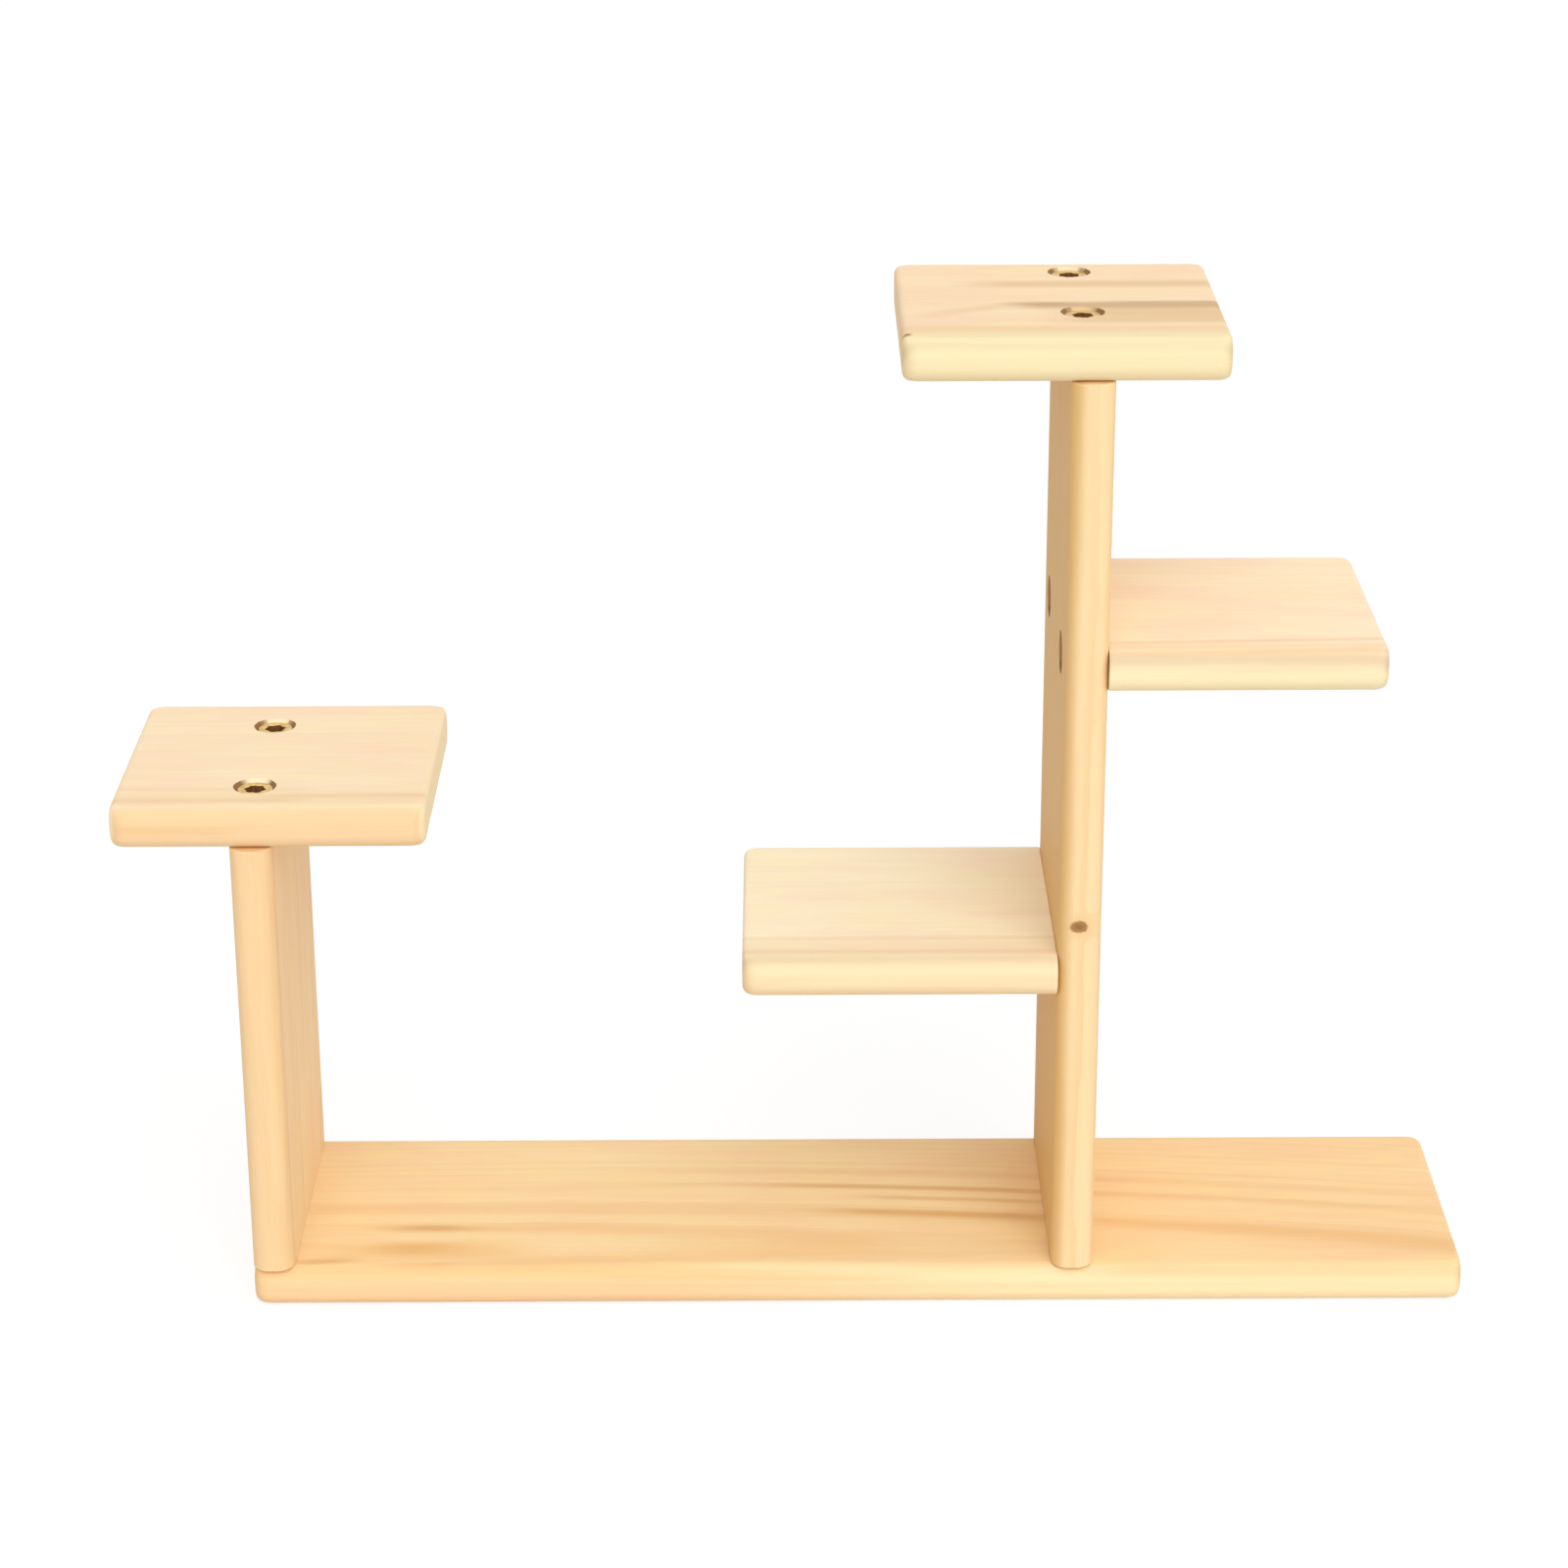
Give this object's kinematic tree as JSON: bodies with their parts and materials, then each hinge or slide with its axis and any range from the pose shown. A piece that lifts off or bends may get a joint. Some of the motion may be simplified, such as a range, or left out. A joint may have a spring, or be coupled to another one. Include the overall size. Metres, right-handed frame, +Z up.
{
  "type": "air plant holder",
  "caption": "Small tiered stand of rounded pine boards: a long base, a short and a tall upright, and square shelves at several heights for air plants or small pots.",
  "frame": {"origin": "under the middle of the stand's outline, on the surface that it stands on", "axes": "+X along the base towards its free right end, +Y from front to back, +Z up"},
  "size_m": [0.35, 0.08, 0.263],
  "materials": {
    "pine": "bare planed and sanded pine, satin",
    "screw_metal": "yellow zinc plated steel, satin"
  },
  "bodies": {
    "root": {"base_board": "pine", "short_post": "pine", "tall_post": "pine", "short_post_shelf": "pine", "top_shelf": "pine", "right_shelf": "pine", "lower_left_shelf": "pine", "short_post_screw_front": "screw_metal", "short_post_screw_back": "screw_metal", "tall_post_screw_front": "screw_metal", "tall_post_screw_back": "screw_metal", "short_shelf_screw_front": "screw_metal", "short_shelf_screw_back": "screw_metal", "top_shelf_screw_front": "screw_metal", "top_shelf_screw_back": "screw_metal", "right_shelf_screw_front": "screw_metal", "right_shelf_screw_back": "screw_metal", "lower_shelf_screw_front": "screw_metal", "lower_shelf_screw_back": "screw_metal"}
  },
  "joints": []
}
